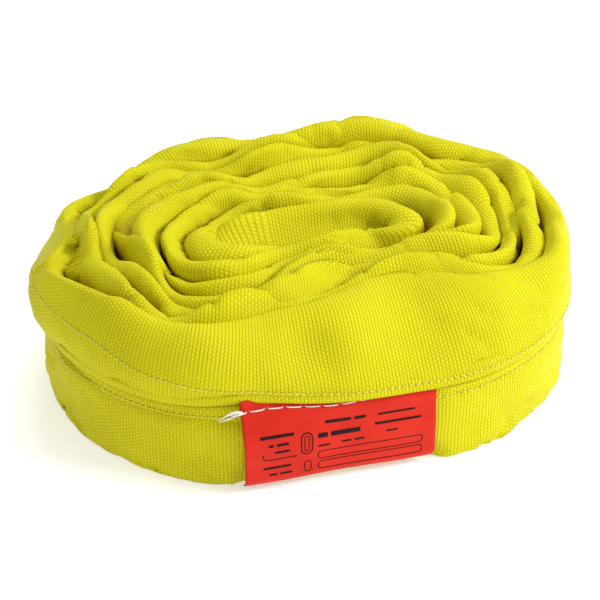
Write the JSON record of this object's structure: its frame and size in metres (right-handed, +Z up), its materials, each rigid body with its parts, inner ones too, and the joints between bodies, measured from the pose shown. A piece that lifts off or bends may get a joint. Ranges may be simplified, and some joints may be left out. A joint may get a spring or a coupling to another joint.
{
  "type": "round sling",
  "caption": "Endless fabric round sling for lifting, laid double and rolled on its edge into an oval roll, with a sewn tag whose flap lifts.",
  "frame": {"origin": "on the floor under the middle of the roll's box", "axes": "+X along the roll's long side, +Y towards its back, away from the tag, +Z up"},
  "size_m": [0.283, 0.2314, 0.084],
  "materials": {
    "jacket_fabric": "woven polyester, satin",
    "inner_jacket_fabric": "woven, matt",
    "core_yarn": "filament yarn, satin",
    "binding_tape": "smooth tape",
    "yellow_thread": "sewing thread, satin",
    "tag_fabric": "coated cloth, satin",
    "tag_ink": "matt print",
    "white_thread": "sewing thread, satin"
  },
  "bodies": {
    "sling": {"outer_jacket": "jacket_fabric", "inner_jacket": "inner_jacket_fabric", "core_hank_1": "core_yarn", "core_hank_2": "core_yarn", "core_hank_3": "core_yarn", "core_hank_4": "core_yarn", "core_hank_5": "core_yarn", "core_binding_tapes": "binding_tape", "jacket_joint_stitches": "yellow_thread", "seam_needle_thread": "yellow_thread", "seam_bobbin_thread": "yellow_thread", "tag_sewn_edge": "tag_fabric", "tag_stitches": "white_thread", "tag_thread_tail": "white_thread"},
    "tag_flap": {"tag_flap": "tag_fabric", "tag_print": "tag_ink"}
  },
  "joints": [
    {"name": "tag_lift", "type": "hinge", "parent": "sling", "child": "tag_flap", "pos_m": [-0.01355, -0.11413, 0.0355], "axis": [-1, 0, 0], "range_deg": [0, 120]}
  ]
}
